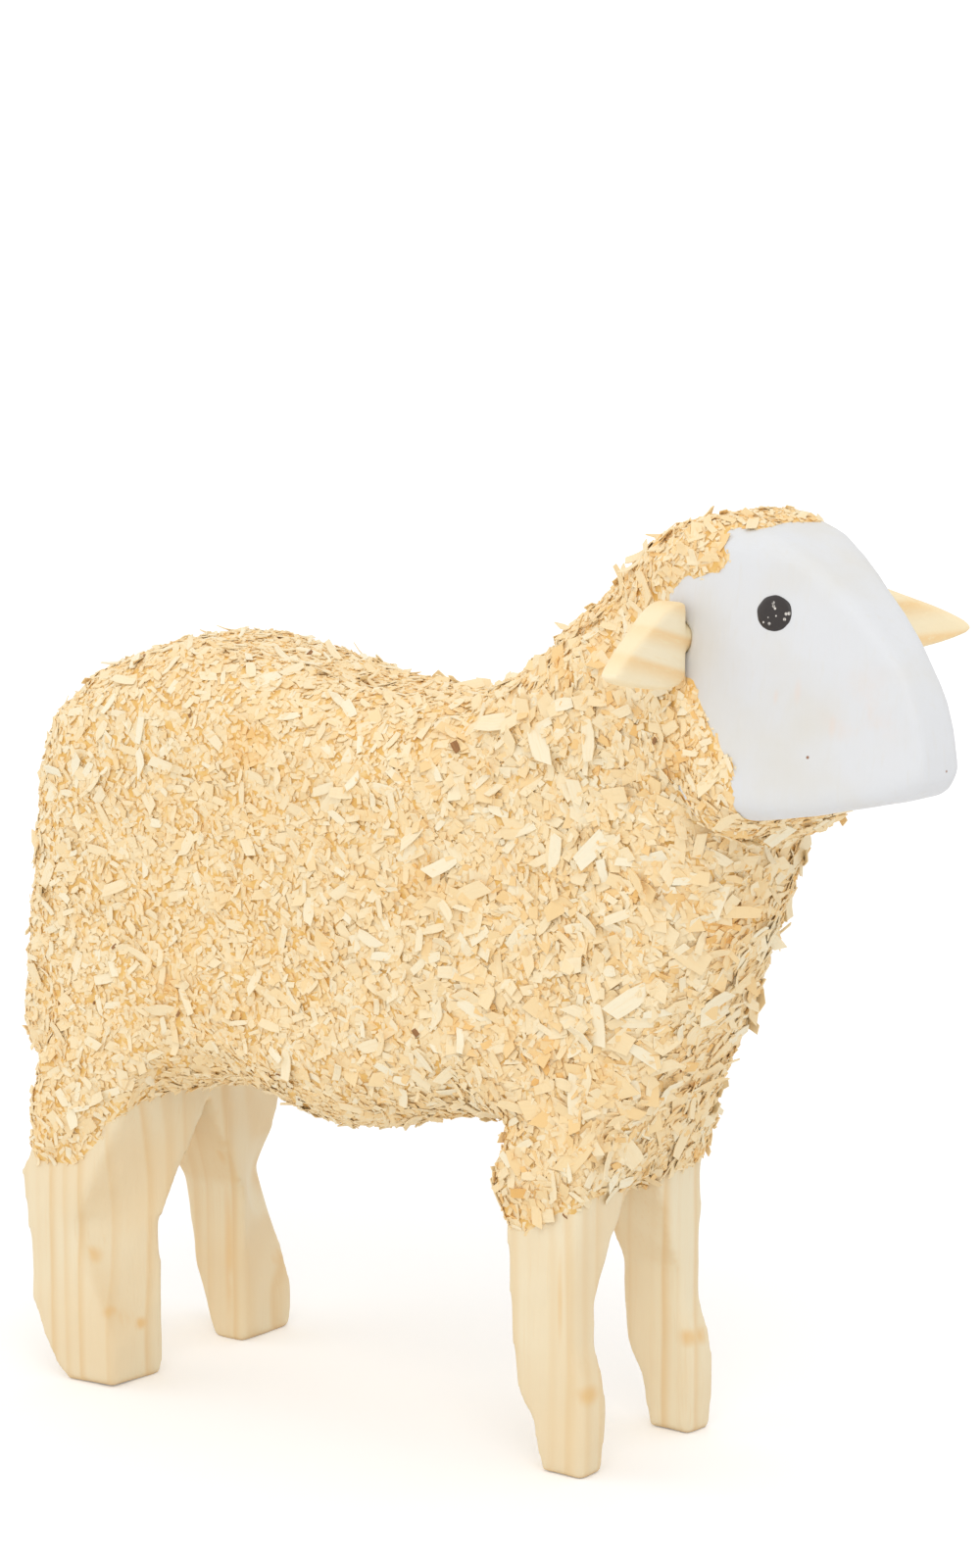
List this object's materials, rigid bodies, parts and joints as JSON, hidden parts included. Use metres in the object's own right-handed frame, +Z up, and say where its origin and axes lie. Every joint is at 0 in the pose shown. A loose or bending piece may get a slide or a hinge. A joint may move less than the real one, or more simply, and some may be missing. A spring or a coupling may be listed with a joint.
{
  "type": "sheep figurine",
  "caption": "Standing wooden sheep with whittled legs, a coat of glued wood shavings, a white painted face turned to its right and leaf-shaped wooden ears.",
  "frame": {"origin": "on the ground, at the middle of the bounding box seen from above", "axes": "+X from the rump to the nose, +Y to the sheep's left, +Z up"},
  "size_m": [0.1444, 0.0578, 0.1257],
  "materials": {
    "bare_wood": "bare pale softwood, whittled",
    "white_paint": "matt white paint on wood, slightly worn",
    "dowel_wood": "bare wood dowel",
    "ear_wood": "bare pale softwood with warm grain bands",
    "black_paint": "satin black paint",
    "shavings": "glued wood shavings, cream to golden"
  },
  "bodies": {
    "root": {"body_block": "bare_wood", "head_block": "white_paint", "neck_dowel": "dowel_wood", "ear_left": "ear_wood", "ear_right": "ear_wood", "eye_left": "black_paint", "eye_right": "black_paint", "body_fleece": "shavings", "head_fleece": "shavings"}
  },
  "joints": []
}
